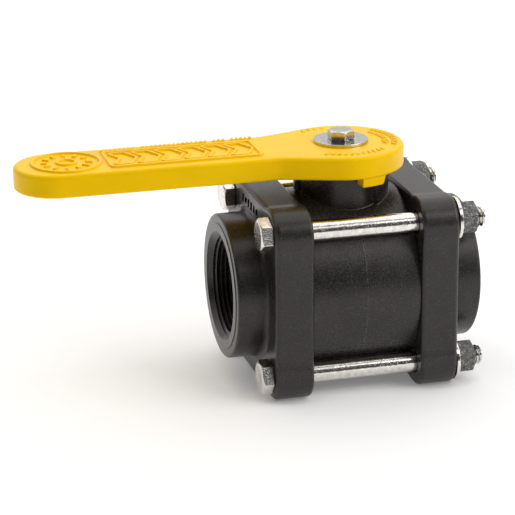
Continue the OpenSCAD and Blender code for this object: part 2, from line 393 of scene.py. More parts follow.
def arc(x, y, radius, start, stop, steps):
    angles = [radians(start + (stop - start) * i / steps) for i in range(steps + 1)]
    return [(x + radius * cos(a), y + radius * sin(a)) for a in angles]


def ease(t):
    t = min(max(t, 0.0), 1.0)
    return t * t * (3 - 2 * t)


def startTree(name, inputs):
    tree = bpy.data.node_groups.new(name, "GeometryNodeTree")
    tree.interface.new_socket("Geometry", in_out="INPUT", socket_type="NodeSocketGeometry")
    for title, kind in inputs:
        tree.interface.new_socket(title, in_out="INPUT", socket_type="NodeSocket" + kind)
    tree.interface.new_socket("Geometry", in_out="OUTPUT", socket_type="NodeSocketGeometry")
    graph = Graph(tree)
    entry = tree.nodes.new("NodeGroupInput")
    return tree, graph, lambda title: Wire(graph, entry.outputs[title])


def endTree(graph, geometry, material):
    whole = graph.add("GeometryNodeRealizeInstances", None, {"Geometry": geometry})
    painted = graph.add("GeometryNodeSetMaterial", None, {"Geometry": whole, "Material": material})
    graph.end("NodeGroupOutput", {"Geometry": painted})


def grow(name, tree, values, base=None):
    # runs a geometry tree on a base mesh and keeps the result as a plain mesh
    obj = addObject(name, base or bpy.data.meshes.new(name))
    modifier = obj.modifiers.new(tree.name, "NODES")
    modifier.node_group = tree
    for item in tree.interface.items_tree:
        if item.in_out == "INPUT" and item.name in values:
            modifier[item.identifier] = values[item.name]
    flatten(obj)
    clean(obj)
    return obj


def polarPoint(graph, along, radius, angle):
    across = radius * angle.maths("COSINE")
    rise = radius * angle.maths("SINE")
    return graph.add("ShaderNodeCombineXYZ", None, {0: along, 1: across, 2: rise})


roundingGuard = 0.0001  # keeps a whole number whole when it is cut down


def gridRowsAndSteps(graph, rows, around):
    # a grid whose points know their row and their step around
    grid = graph.add("GeometryNodeMeshGrid", None, {"Vertices X": rows, "Vertices Y": around + 1})
    index = graph.add("GeometryNodeInputIndex")
    row = (index / (around + 1) + roundingGuard).maths("FLOOR")
    return grid, row, index - row * (around + 1)


chamferSlope = tan(radians(30))  # of a hexagon's turned corners
mergeReach = 0.001  # mm


def makeTurnedTree():
    # turns a profile round X, where hexShare and lean make a ring of it a chamfered hexagon
    tree, graph, given = startTree("turnedPiece", [
        ("Steps Around", "Int"), ("Across Flats", "Float"), ("Turn", "Float"), ("Material", "Material")])
    profile, around = given("Geometry"), given("Steps Around")
    size = graph.add("GeometryNodeAttributeDomainSize", None, {"Geometry": profile})
    grid, row, step = gridRowsAndSteps(graph, size, around)

    def sampled(kind, value):
        return graph.add("GeometryNodeSampleIndex", {"data_type": kind},
                         {"Geometry": profile, "Value": value, "Index": row})

    def attribute(title):
        named = graph.add("GeometryNodeInputNamedAttribute", {"data_type": "FLOAT"}, {"Name": title})
        return sampled("FLOAT", named)

    point = sampled("FLOAT_VECTOR", graph.add("GeometryNodeInputPosition"))
    parts = graph.add("ShaderNodeSeparateXYZ", None, {0: point})
    along, radius = parts, parts.sibling(1)
    angle = step / around * (2 * pi)
    fromFlat = angle.maths("WRAP", pi / 6, -pi / 6)
    excess = given("Across Flats") / 2 * (1 / fromFlat.maths("COSINE") - 1)
    radius = radius + attribute("hexShare") * excess
    along = along + attribute("lean") * excess * chamferSlope
    place = polarPoint(graph, along, radius, angle + given("Turn"))
    shaped = graph.add("GeometryNodeSetPosition", None, {"Geometry": grid, "Position": place})
    merged = graph.add("GeometryNodeMergeByDistance", None, {"Geometry": shaped, "Distance": mergeReach})
    endTree(graph, merged, given("Material"))
    return tree


def makeThreadTree():
    # a screw thread round X whose rows follow the helix, closed at both ends with discs
    tree, graph, given = startTree("screwThread", [
        ("Steps Around", "Int"), ("Rows Per Turn", "Int"), ("Start", "Float"), ("End", "Float"),
        ("Pitch", "Float"), ("Base Radius", "Float"), ("Depth", "Float"), ("Run Out", "Float"),
        ("Material", "Material")])
    around, perTurn, pitch = given("Steps Around"), given("Rows Per Turn"), given("Pitch")
    start, stop, base = given("Start"), given("End"), given("Base Radius")
    turns = (stop - start) / pitch
    rows = (turns.maths("CEIL") + 2) * perTurn + 1
    grid, row, step = gridRowsAndSteps(graph, rows, around)
    along = (start + (row / perTurn - 1 + step / around) * pitch).clamp(start, stop)
    phase = (row / perTurn + roundingGuard).maths("FRACT")
    flank = (phase * 2 - 1).maths("ABSOLUTE").steps(0.1, 0.9)  # with a narrow flat at root and crest
    fade = ((along - start) / given("Run Out")).clamp() * ((stop - along) / given("Run Out")).clamp()
    radius = base + given("Depth") * flank * fade
    angle = step / around * (2 * pi)
    place = polarPoint(graph, along, radius, angle)
    shaped = graph.add("GeometryNodeSetPosition", None, {"Geometry": grid, "Position": place})
    disc = graph.add("GeometryNodeMeshCircle", {"fill_type": "NGON"}, {"Vertices": around, "Radius": base})
    ends = [graph.add("GeometryNodeTransform", None, {
        "Geometry": disc, "Rotation": (0, pi / 2, 0),
        "Translation": graph.add("ShaderNodeCombineXYZ", None, {0: end})}) for end in (start, stop)]
    joined = graph.add("GeometryNodeJoinGeometry", None, {"Geometry": [*ends, shaped]})
    merged = graph.add("GeometryNodeMergeByDistance", None,
                       {"Geometry": joined, "Distance": mergeReach * 2})
    endTree(graph, merged, given("Material"))
    return tree


def makeOutlineTree():
    # raises a ridge along an outline and repeats the outline along a line of places
    tree, graph, given = startTree("raisedOutline", [
        ("Copies", "Int"), ("First Place", "Vector"), ("Step", "Vector"), ("Corner Radius", "Float"),
        ("Ridge Width", "Float"), ("Ridge Height", "Float"), ("Material", "Material")])
    path = graph.add("GeometryNodeMeshToCurve", None, {"Mesh": given("Geometry")})
    soft = graph.add("GeometryNodeFilletCurve", {"mode": "POLY"},
                     {"Curve": path, "Count": 4, "Radius": given("Corner Radius"), "Limit Radius": True})
    places = graph.add("GeometryNodeMeshLine", {"mode": "OFFSET"}, {
        "Count": given("Copies"), "Start Location": given("First Place"), "Offset": given("Step")})
    copies = graph.add("GeometryNodeInstanceOnPoints", None, {"Points": places, "Instance": soft})
    whole = graph.add("GeometryNodeRealizeInstances", None, {"Geometry": copies})
    upright = graph.add("GeometryNodeSetCurveNormal", {"mode": "Z_UP"}, {"Curve": whole})
    section = graph.add("GeometryNodeCurvePrimitiveQuadrilateral", {"mode": "TRAPEZOID"}, {
        "Height": given("Ridge Height"), "Bottom Width": given("Ridge Width") * 0.5,
        "Top Width": given("Ridge Width"), "Offset": 0.0})
    ridge = graph.add("GeometryNodeCurveToMesh", None, {
        "Curve": upright, "Profile Curve": section, "Fill Caps": True})
    endTree(graph, ridge, given("Material"))
    return tree


def makeMarkRowTree():
    # stands small tapered ribs of uneven size side by side along a path, and may leave some out
    tree, graph, given = startTree("markRow", [
        ("Spacing", "Float"), ("Mark Size", "Vector"), ("Slant", "Float"), ("Kept Share", "Float"),
        ("Seed", "Int"), ("Material", "Material")])
    path = graph.add("GeometryNodeMeshToCurve", None, {"Mesh": given("Geometry")})
    places = graph.add("GeometryNodeCurveToPoints", {"mode": "LENGTH"},
                       {"Curve": path, "Length": given("Spacing")})
    facing = graph.add("FunctionNodeAlignRotationToVector", {"axis": "X", "pivot_axis": "Z"},
                       {"Vector": places.sibling("Tangent")})
    rib = graph.add("GeometryNodeMeshCube", None, {"Size": given("Mark Size")})
    parts = graph.add("ShaderNodeSeparateXYZ", None, {0: graph.add("GeometryNodeInputPosition")})
    x, y, z = (parts.sibling(i) for i in range(3))
    taper = 1 - z.maths("GREATER_THAN", 0.0) * 0.28  # the top is that much smaller than the foot
    leaning = graph.add("ShaderNodeCombineXYZ", None, {
        0: (x + given("Slant") * y) * taper, 1: y * taper, 2: z})
    shaped = graph.add("GeometryNodeSetPosition", None, {"Geometry": rib, "Position": leaning})
    sizes = graph.add("FunctionNodeRandomValue", {"data_type": "FLOAT_VECTOR"}, {
        0: (0.75, 0.62, 1.0), 1: (1.2, 1.0, 1.0), "Seed": given("Seed")}, 0)
    kept = graph.add("FunctionNodeRandomValue", {"data_type": "BOOLEAN"}, {
        "Probability": given("Kept Share"), "Seed": given("Seed")}, 3)
    ribs = graph.add("GeometryNodeInstanceOnPoints", None, {
        "Points": places, "Selection": kept, "Instance": shaped, "Rotation": facing, "Scale": sizes})
    endTree(graph, ribs, given("Material"))
    return tree


turnedTree = makeTurnedTree()
threadTree = makeThreadTree()
outlineTree = makeOutlineTree()
markRowTree = makeMarkRowTree()


def pathMesh(name, points, level=0.0, closed=False):
    edges = [(i, i + 1) for i in range(len(points) - 1)] + ([(len(points) - 1, 0)] if closed else [])
    return newMesh(name, [(x, y, level) for x, y in points], edges)


def turned(name, profile, slot="black_plastic", around=96, acrossFlats=0.0, turn=0.0):
    # profile points are (along, radius) or (along, radius, hexShare, lean)
    mesh = pathMesh(name, [point[:2] for point in profile])
    for place, title in ((2, "hexShare"), (3, "lean")):
        layer = mesh.attributes.new(title, "FLOAT", "POINT")
        layer.data.foreach_set("value", [p[place] if len(p) > place else 0.0 for p in profile])
    return grow(name, turnedTree, {"Steps Around": around, "Across Flats": acrossFlats,
                                   "Turn": radians(turn), "Material": materials[slot]}, mesh)


def threaded(name, sizes, slot="black_plastic"):
    return grow(name, threadTree, {**sizes, "Material": materials[slot]})


def outlineRidge(points, width, height, level, slot, copies=1, first=(0.0, 0.0), step=0.0, corner=1.0):
    # a ridge centred on the level, along one outline or along copies of it stepped in x
    return grow("outlineRidge", outlineTree, {
        "Copies": copies, "First Place": (*first, level), "Step": (step, 0.0, 0.0), "Corner Radius": corner,
        "Ridge Width": width, "Ridge Height": height, "Material": materials[slot]},
        pathMesh("outlineRidge", points, closed=True))


def markRow(points, size, level, slot, spacing, slant, kept, seed):
    # small ribs centred on the level, side by side along a path
    return grow("markRow", markRowTree, {
        "Spacing": spacing, "Mark Size": size, "Slant": slant, "Kept Share": kept,
        "Seed": seed, "Material": materials[slot]}, pathMesh("markRow", points, level))


def move(obj, x=0.0, y=0.0, z=0.0):
    obj.data.transform(Matrix.Translation((x, y, z)))
    return obj


def turnAbout(obj, axis, angle):
    obj.data.transform(Matrix.Rotation(radians(angle), 4, axis))
    return obj


fastener = {
    "acrossFlats": 14.29, "flatInset": 0.55, "shankRadius": 4.7625, "edge": 0.22, "steps": 48,
    "headDish": 0.12, "dishRim": 0.9, "dishSlope": 0.5, "underHead": 0.35, "underRim": (0.25, 0.4),
    "threadPitch": 1.5875, "threadDepth": 0.92, "threadLead": 11.4, "threadLap": 0.4, "runOut": 0.9,
    "washerPlay": 0.4, "washerRound": 0.35, "washerEdge": 0.15, "washerLip": 0.25, "washerSteps": 72,
    "nutPlay": 0.05, "nutMouth": 0.55, "nutLead": 0.6,
    "headTurns": (-12, -23, -1, 14), "nutTurns": (8, 6, 26, 10)}


def hexSides(x0, x1, half, inset, bevelLow, bevelHigh):
    # the rings of a hexagon between two ends, cut back at 30 degrees where asked
    drop = inset * chamferSlope
    rings = [(x0, half - inset, 0, 0), (x0 + drop, half, 1, 1)] if bevelLow else [(x0, half, 1, 0)]
    rings += [(x1 - drop, half, 1, -1), (x1, half - inset, 0, 0)] if bevelHigh else [(x1, half, 1, 0)]
    return rings


def makeBolt(corner, turn):
    sizes, name = fastener, "bolt_" + corner
    half, shank = sizes["acrossFlats"] / 2, sizes["shankRadius"]
    low, head, end = boxMm(name)[0].x, -valve["flangeOut"], boltHigh.x
    dished, neck, threadStart = low + sizes["headDish"], head - sizes["underHead"], end - sizes["threadLead"]
    rim = half - sizes["flatInset"] - sizes["dishRim"]
    profile = [(dished, 0), (dished, rim - sizes["dishSlope"]), (low, rim)]
    profile += hexSides(low, neck, half, sizes["flatInset"], True, False)
    profile += [(x, half - cut) for x, cut in zip((neck, head), sizes["underRim"])]
    profile += [(head, shank), (threadStart, shank), (threadStart, 0)]
    obj = turned(name, profile, "stainless", sizes["steps"], sizes["acrossFlats"], turn)
    bevel(obj, sizes["edge"])
    combine(obj, "UNION", threaded("boltThread", {
        "Steps Around": sizes["steps"], "Rows Per Turn": 8, "Start": threadStart - sizes["threadLap"],
        "End": end, "Pitch": sizes["threadPitch"], "Base Radius": shank - sizes["threadDepth"],
        "Depth": sizes["threadDepth"], "Run Out": sizes["runOut"]}, "stainless"))
    return finishPiece(move(obj, 0, *boltPlace(corner)), "valve_body", "stainless", name)


def makeWasher(corner):
    sizes, name = fastener, "washer_" + corner
    low, high = boxMm(name)
    outer, hole = (high.y - low.y) / 2, sizes["shankRadius"] + sizes["washerPlay"]
    soft, edge, lip = sizes["washerRound"], sizes["washerEdge"], sizes["washerLip"]
    profile = [(low.x, hole), (low.x, outer - edge), (low.x + edge, outer)]
    profile += arc(high.x - soft, outer - soft, soft, 90, 0, 4)
    profile += [(high.x, hole + lip), (high.x - lip, hole), (low.x, hole)]
    obj = turned(name, profile, "stainless", sizes["washerSteps"])
    return finishPiece(move(obj, 0, *boltPlace(corner)), "valve_body", "stainless", name)


def makeNut(corner, turn):
    sizes, name = fastener, "nut_" + corner
    low, high = boxMm(name)
    half, hole = sizes["acrossFlats"] / 2, sizes["shankRadius"] + sizes["nutPlay"]
    mouth, lead = hole + sizes["nutMouth"], sizes["nutLead"]
    profile = [(low.x, mouth)] + hexSides(low.x, high.x, half, sizes["flatInset"], True, True)
    profile += [(high.x, mouth), (high.x - lead, hole), (low.x + lead, hole), (low.x, mouth)]
    obj = turned(name, profile, "dark_steel", sizes["steps"], sizes["acrossFlats"], turn)
    bevel(obj, sizes["edge"])
    return finishPiece(move(obj, 0, *boltPlace(corner)), "valve_body", "dark_steel", name)


for corner, headTurn, nutTurn in zip(cornerNames, fastener["headTurns"], fastener["nutTurns"]):
    makeBolt(corner, headTurn)
    makeWasher(corner)
    makeNut(corner, nutTurn)
print("bolts, washers and nuts made")

hubScrew = {
    "acrossFlats": 11.11, "flatInset": 0.45, "shankRadius": 3.1, "turn": 90, "edge": 0.18, "steps": 48,
    "pointRound": 0.5, "underHead": 0.25, "underRim": (0.35, 0.3), "headDish": 0.12, "dishRim": (0.6, 1.1),
    "washerPlay": 0.2, "washerRound": 0.3, "washerEdge": 0.2}


def makeHandleScrew():
    sizes, under, top = hubScrew, hubWasherHigh.z, screwHigh.z
    half, shank, point = sizes["acrossFlats"] / 2, sizes["shankRadius"], sizes["pointRound"]
    neck, dished, rim = under + sizes["underHead"], top - sizes["headDish"], half - sizes["flatInset"]
    profile = [(screwLow.z, 0), (screwLow.z, shank - point), (screwLow.z + point, shank), (under, shank)]
    profile += [(x, half - cut) for x, cut in zip((under, neck), sizes["underRim"])]
    profile += hexSides(neck, top, half, sizes["flatInset"], False, True)
    profile += [(x, rim - cut) for x, cut in zip((top, dished), sizes["dishRim"])] + [(dished, 0)]
    obj = turned("handle_screw", profile, "brushed_steel", sizes["steps"], sizes["acrossFlats"],
                 sizes["turn"])
    bevel(obj, sizes["edge"])
    return finishPiece(turnAbout(obj, "Y", -90), "lever", "brushed_steel", "handle_screw")


def makeHandleWasher():
    low, high, outer = hubWasherLow.z, hubWasherHigh.z, hubWasherHigh.x
    hole = hubScrew["shankRadius"] + hubScrew["washerPlay"]
    soft, edge = hubScrew["washerRound"], hubScrew["washerEdge"]
    profile = [(low, hole), (low, outer - edge), (low + edge, outer)]
    profile += arc(high - soft, outer - soft, soft, 90, 0, 4)
    profile += [(high, hole), (low, hole)]
    obj = turned("handle_washer", profile, "brushed_steel")
    return finishPiece(turnAbout(obj, "Y", -90), "lever", "brushed_steel", "handle_washer")


makeHandleScrew()
makeHandleWasher()
print("handle screw and washer made")


endCap = {
    "cornerRadius": 12.0, "cornerSteps": 16, "sideSteps": 36,
    "padLength": 18.0, "sideDip": 0.7, "dipRun": 5.0,
    "outRound": 2.4, "inRound": 1.6, "flatLead": 0.2,  # flatLead keeps the faces flat beside their rounds
    "collarRadius": 33.9, "rimRound": 1.3, "footWidth": 2.6, "footLip": (0.16, 0.35),
    "landRadius": 29.6, "landDrop": 0.45, "landEdge": 0.15, "landSlope": (0.1, 0.35),
    "spigotRadius": 34.0, "spigotEdge": 0.5, "holeRadius": 5.0, "holeLip": 0.5,
    "mouthRadius": 25.6, "mouthDepth": 1.75, "mouthLead": 1.25, "mouthReach": 3.0,
    "threadPitch": 25.4 / 11.5, "threadDepth": 1.7, "threadBottom": 24.0, "threadPast": 2.5, "runOut": 1.2,
    "seatPocket": 27.05, "seatBack": 24.0,
    "markPath": ((-13.2, 38.0), (10.8, 37.8)), "markSize": (4.0, 5.0, 2.6),
    "markPitch": 4.7, "markSlant": 0.1}


def flangeOutline(inset):
    # the rounded square, counter-clockwise in (y, z), with every side dipped between its corner pads
    corner = endCap["cornerRadius"]
    sides = ((valve["halfY"], valve["halfZ"]), (valve["halfZ"], valve["halfY"])) * 2
    points = []
    for quarter, (half, other) in enumerate(sides):
        outline = arc(half - corner, other - corner, corner - inset, 0, 90, endCap["cornerSteps"])
        straight = half - corner
        for i in range(1, endCap["sideSteps"]):
            run = straight - 2 * straight * i / endCap["sideSteps"]
            toPad = endCap["padLength"] - (half - abs(run))
            dip = endCap["sideDip"] * ease(0.5 - toPad / endCap["dipRun"])
            outline.append((run, other - inset - dip))
        turn = radians(90 * quarter)
        points += [(y * cos(turn) - z * sin(turn), y * sin(turn) + z * cos(turn)) for y, z in outline]
    return points


def endCapRings():
    # from the middle of the port's face outwards, round the flange and in to the middle of the spigot
    sizes, flangeOut, flangeIn, face = endCap, valve["flangeOut"], valve["bodyEnd"], valve["faceAt"]
    angles = [atan2(z, y) for y, z in flangeOutline(0)]

    def ring(x, radius):
        return [(x, radius * cos(a), radius * sin(a)) for a in angles]

    def squareRing(x, inset):
        return [(x, y, z) for y, z in flangeOutline(inset)]

    collar, rim, land, lead = (sizes[k] for k in ("collarRadius", "rimRound", "landRadius", "flatLead"))
    rings = [ring(face, 0), ring(face, sizes["mouthRadius"] - 2)]  # cut away later by the port
    rings += [ring(face, land - sizes["landEdge"]), ring(face, land)]
    shoulder, (slopeLength, slopeRise) = face - sizes["landDrop"], sizes["landSlope"]
    rings += [ring(shoulder + slopeLength, land + slopeRise)]
    rings += [ring(shoulder, collar - rim - sizes["landEdge"])]
    rings += [ring(x, r) for x, r in arc(shoulder - rim, collar - rim, rim, 0, 90, 6)]
    foot, (lipLength, lipRise) = sizes["footWidth"], sizes["footLip"]
    rings += [ring(flangeOut + foot + lead, collar)]
    rings += [ring(x, r) for x, r in arc(flangeOut + foot, collar + foot, foot, -90, -138, 4)]
    rings += [ring(flangeOut + lipLength, collar + foot - lipRise), ring(flangeOut, collar + foot)]
    out, inn = sizes["outRound"], sizes["inRound"]
    rings += [squareRing(flangeOut, out + lead)]
    rings += [squareRing(x, inset) for x, inset in arc(flangeOut - out, out, out, 0, -90, 7)]
    rings += [squareRing(x, inset) for x, inset in arc(flangeIn + inn, inn, inn, -90, -180, 5)]
    spigot, edge, end = sizes["spigotRadius"], sizes["spigotEdge"], valve["spigotEnd"]
    rings += [squareRing(flangeIn, inn + lead), ring(flangeIn, spigot)]
    return rings + [ring(end + edge, spigot), ring(end, spigot - edge), ring(end, 0)]


def cutPort(obj):
    # the waterway, the threaded port with its mouth, and the pocket for the seat
    sizes, face, way = endCap, valve["faceAt"], valve["wayRadius"]
    crest, mouth, pocket = valve["crestRadius"], sizes["mouthRadius"], sizes["seatPocket"]
    root, reach = crest + sizes["threadDepth"], face - sizes["mouthReach"]
    cutters = [
        turned("way", [(0, 0), (0, way), (face, way), (face, 0)], around=128),
        threaded("tap", {
            "Steps Around": 160, "Rows Per Turn": 8, "Start": face - sizes["threadBottom"],
            "End": face + sizes["threadPast"], "Pitch": sizes["threadPitch"], "Base Radius": crest,
            "Depth": sizes["threadDepth"], "Run Out": sizes["runOut"]}),
        turned("mouth", [(reach, 0), (reach, root - sizes["mouthLead"]), (face - sizes["mouthDepth"], root),
                         (face + 0.001, mouth), (face + 1, mouth), (face + 1, 0)], around=160),
        turned("pocket", [(0, 0), (0, pocket), (sizes["seatBack"], pocket), (sizes["seatBack"], 0)],
               around=128)]
    combine(obj, "DIFFERENCE", *cutters)


def drillFlange(obj):
    hole, lip = endCap["holeRadius"], endCap["holeLip"]
    low, high, wide = valve["bodyEnd"], valve["flangeOut"], hole + lip + 1
    profile = [(low - 1, 0), (low - 1, wide), (low + lip, hole),
               (high - lip, hole), (high + 1, wide), (high + 1, 0)]
    for corner in cornerNames:
        drill = turned("drill", profile, around=40)
        combine(obj, "DIFFERENCE", move(drill, 0, *boltPlace(corner)))


def sinkMarks(obj):
    # a row of plain notches in the flange's outer face, above the collar
    sizes = endCap
    marks = markRow(sizes["markPath"], sizes["markSize"], 0.0, "black_plastic", sizes["markPitch"],
                    sizes["markSlant"], kept=1.0, seed=8)
    ontoFace = Matrix(((0, 0, 1, valve["flangeOut"]), (1, 0, 0, 0), (0, 1, 0, 0), (0, 0, 0, 1)))
    marks.data.transform(ontoFace)
    combine(obj, "DIFFERENCE", marks)


def makeEndCap(name, turn):
    obj = loft(name, endCapRings())
    cutPort(obj)
    drillFlange(obj)
    sinkMarks(obj)
    if turn:
        turnAbout(obj, "Z", turn)
    clean(obj, reach=0.0005)
    return finishPiece(obj, "valve_body", "black_plastic", name, smooth=30)


makeEndCap("end_cap_left", 180)
makeEndCap("end_cap_right", 0)
print("end caps made")


bodyShape = {
    "chamberRadius": 30.0, "counterbore": 34.05, "spigotPlay": 0.2, "endEdge": 0.5, "around": 288,
    "seamHeight": 0.07, "seamWidth": 0.5, "flankSteps": 10, "flankPitch": 2.4,
    "bossRadius": 20.5, "bossSteps": 480, "bossRoot": 31.5, "topRound": 0.7, "footRound": 0.35,
    "ribRadius": 22.2, "ribStarts": (300.5, 139.5), "ribSweep": 44.0, "ribEdge": 1.6,
    "stemHole": 9.05, "holeLead": 1.6, "leadDepth": 0.6,
    "pocketRadius": 12.05, "pocketFoot": 20, "pocketTop": 34.55}


def bossRadiusAt(spot):
    # the boss with its two stop ribs, whose ends blend in over ribEdge degrees
    radius, rise = bodyShape["bossRadius"], bodyShape["ribRadius"] - bodyShape["bossRadius"]
    sweep, edge = bodyShape["ribSweep"], bodyShape["ribEdge"]
    for start in bodyShape["ribStarts"]:
        turn = (spot - start) % 360
        if turn <= sweep:
            radius += rise * (ease(turn / edge) * ease((sweep - turn) / edge))
    return radius


def makeBoss():
    # from inside the barrel, through a small round at its foot, up to the rounded top
    count, root = bodyShape["bossSteps"], bodyShape["bossRoot"]
    spots = [360 * i / count for i in range(count)]
    top, foot, edge = valve["bossTop"], bodyShape["footRound"], bodyShape["topRound"]

    def ring(extra, lift=0.0, level=None):
        points = []
        for spot in spots:
            radius = bossRadiusAt(spot) + extra
            x, y = radius * cos(radians(spot)), radius * sin(radians(spot))
            onBarrel = sqrt(valve["bodyRadius"] ** 2 - y * y)
            points.append((x, y, onBarrel + lift if level is None else level))
        return points

    rings = [[(0, 0, root)] * count, ring(-2, level=root)]
    rings += [ring(0.4, lift=-2.2), ring(foot + 0.5, lift=-0.12)]  # a skirt just under the barrel's skin
    for t in map(radians, (84, 72, 60, 45, 30, 15, 0)):
        rings.append(ring(foot * (1 - cos(t)), lift=foot * (1 - sin(t))))
    rings.append(ring(0, level=top - edge))
    for t in map(radians, (18, 36, 54, 72, 90)):
        rings.append(ring(edge * cos(t) - edge, level=top - edge + edge * sin(t)))
    return loft("boss", rings + [[(0, 0, top)] * count])


def cutBody(obj):
    # the ball's chamber with its counterbores, then the stem's hole with the pocket below it
    end, spigot = valve["bodyEnd"] + 1, valve["spigotEnd"] - bodyShape["spigotPlay"]
    bore, counter = bodyShape["chamberRadius"], bodyShape["counterbore"]
    side = [(spigot, bore), (spigot, counter), (end, counter), (end, 0)]
    chamber = turned("chamber", [(-x, r) for x, r in side[::-1]] + side, around=160)
    hole, pocket, rim = bodyShape["stemHole"], bodyShape["pocketRadius"], bodyShape["pocketTop"]
    foot, top, lead = bodyShape["pocketFoot"], valve["bossTop"], bodyShape["holeLead"]
    stemHole = turned("stemHole", [
        (foot, 0), (foot, pocket), (rim, pocket), (rim, hole), (top - bodyShape["leadDepth"], hole),
        (top + 1, hole + lead), (top + 1, 0)])
    combine(obj, "DIFFERENCE", chamber, turnAbout(stemHole, "Y", -90))


def makeBody():
    radius, end, edge = valve["bodyRadius"], valve["bodyEnd"], bodyShape["endEdge"]
    seam, wide, pitch = bodyShape["seamHeight"], bodyShape["seamWidth"], bodyShape["flankPitch"]
    low = radius - seam
    side = [(end, low - edge), (end - edge * 0.3, low - edge * 0.4)]
    side += [(end - edge - pitch * i, low) for i in range(bodyShape["flankSteps"])]
    side += [(wide, low), (wide * 0.35, radius - seam * 0.6), (0, radius)]
    profile = [(-end, 0)] + [(-x, r) for x, r in side] + side[-2::-1] + [(end, 0)]
    obj = turned("body", profile, around=bodyShape["around"])
    combine(obj, "UNION", makeBoss())
    cutBody(obj)
    clean(obj, reach=0.0005)
    return finishPiece(obj, "valve_body", "seamed_plastic", "body", smooth=30)


makeBody()
print("body made")


lever = {
    "armHalf": 19.4, "flankAt": -34.0, "bend": 3.0,  # how far the soft bend between flank and arm reaches
    "underside": 54.6, "topRound": 1.9, "footRound": 1.3, "flatLead": 0.2,
    "hubSteps": 96, "flankSteps": 12, "bendSteps": 15, "armSteps": 40, "tipSteps": 40,
    "lugDrop": 4.1, "lugStart": 274.0, "lugSweep": 26.0, "lugLean": 3.0, "lugInner": 21.2, "lugOuter": 28.4,
    "lugRound": 0.7, "lugEdge": 0.9, "lugSteps": 20, "lugRoot": 2.0,
    "driveHalf": 6.35, "driveEdge": 0.4, "driveSpan": (40, 80), "coreStarts": (-133.0, -99.0, -65.0),
    "coreWall": 5.0, "coreDepth": 3.5, "coreLength": 30.0, "coreEdge": 1.5, "coreMouth": 4.0}


def handleOutline(inset):
    # hub, straight flanks that touch it, parallel arm and round tip, seen from above
    half, flank, hub, blend = lever["armHalf"], lever["flankAt"], valve["hubRadius"], lever["bend"]
    touch = atan2(half, flank) - acos(hub / hypot(flank, half))
    touchDegrees = touch * 180 / pi
    points = arc(0, 0, hub - inset, -touchDegrees, touchDegrees, lever["hubSteps"])
    start, normal = Vector((hub * cos(touch), hub * sin(touch))), Vector((cos(touch), sin(touch)))
    corner, tip = Vector((flank, half)), Vector((valve["tipAt"] + half, half))
    bendStart = corner - (corner - start).normalized() * blend
    bendEnd = corner + Vector((-blend, 0))
    for i in range(1, lever["flankSteps"] + 1):
        points.append(tuple(start.lerp(bendStart, i / lever["flankSteps"]) - normal * inset))
    for i in range(1, lever["bendSteps"] + 1):
        t = i / lever["bendSteps"]
        spot = bendStart.lerp(corner, t).lerp(corner.lerp(bendEnd, t), t)
        across = normal.lerp(Vector((0, 1)), t).normalized()
        points.append(tuple(spot - across * inset))
    for i in range(1, lever["armSteps"]):
        spot = bendEnd.lerp(tip, i / lever["armSteps"])
        points.append((spot.x, spot.y - inset))
    points += arc(tip.x, 0, half - inset, 90, 180, lever["tipSteps"])
    farSide = points[lever["hubSteps"] + 1:-1]
    return points + [(x, -y) for x, y in reversed(farSide)]


def makeHandleBlank():
    top, foot, lead = lever["topRound"], lever["footRound"], lever["flatLead"]
    low, high = lever["underside"], valve["handleTop"]

    def ring(level, inset):
        return [(x, y, level) for x, y in handleOutline(inset)]

    rings = [ring(high, top + lead)]
    for t in map(radians, range(0, 91, 11)):
        rings.append(ring(high - top + top * cos(t), top - top * sin(t)))
    rings += [ring(high - top, 0), ring((low + high) / 2, 0)]
    for t in map(radians, range(0, 91, 15)):
        rings.append(ring(low + foot - foot * sin(t), foot - foot * cos(t)))
    return loft("handle", rings + [ring(low, foot + lead)], capped=True)


def makeStopLug():
    # a curved block under the hub, whose far end leans in towards its foot
    inner, outer, soft = lever["lugInner"], lever["lugOuter"], lever["lugRound"]
    underside, steps = lever["underside"], lever["lugSteps"]
    low, high = underside - lever["lugDrop"], underside + lever["lugRoot"]
    section = [(inner, high)] + arc(inner + soft, low + soft, soft, 180, 270, 3)
    section += arc(outer - soft, low + soft, soft, 270, 360, 3) + [(outer, high)]
    rings = []
    for i in range(steps + 1):
        ring = []
        for r, z in section:
            sweep = lever["lugSweep"] - lever["lugLean"] * (underside - z) / lever["lugDrop"]
            angle = radians(lever["lugStart"] + sweep * i / steps)
            ring.append((r * cos(angle), r * sin(angle), z))
        rings.append(ring)
    return bevel(loft("lug", rings, capped=True), lever["lugEdge"], 4, 60)


def block(name, low, high, soft, segments=3):
    work = bmesh.new()
    bmesh.ops.create_cube(work, size=1)
    mesh = bpy.data.meshes.new(name)
    work.to_mesh(mesh)
    work.free()
    low, high = Vector(low), Vector(high)
    mesh.transform(Matrix.Translation((low + high) / 2) @ Matrix.Diagonal(high - low).to_4x4())
    return bevel(addObject(name, mesh), soft, segments, 60)


handleMarks = {
    "sunk": 0.25, "rise": 0.9, "arcRise": 0.55,
    "bandLeft": -110.5, "bandRight": -41.0, "bandNear": -13.0, "bandFar": 10.6,
    "frameWidth": 2.4, "frameRound": 1.6, "chevrons": 6, "chevronLength": 7.8, "chevronPoint": 4.4,
    "chevronRidge": 1.9, "chevronRound": 1.3, "chevronGaps": (2.0, 2.6),
    "badgeAt": -129.0, "badgeRings": ((15.4, 2.3), (4.2, 1.9)),
    "badgeRibs": 10.2, "badgeRib": (1.9, 4.6), "badgePitch": 4.9,
    "rowPath": ((-110.5, 13.2), (-39.5, 16.6)), "rowRib": (1.6, 3.6), "rowPitch": 2.15, "rowSlant": 0.25,
    "arcs": ((95, 120, 24.2), (-27, 34, 24.8), (-24, 30, 20.6), (238, 309, 22.9)),
    "arcRib": (1.8, 3.8), "arcPitch": 2.7, "arcSlant": 0.3}


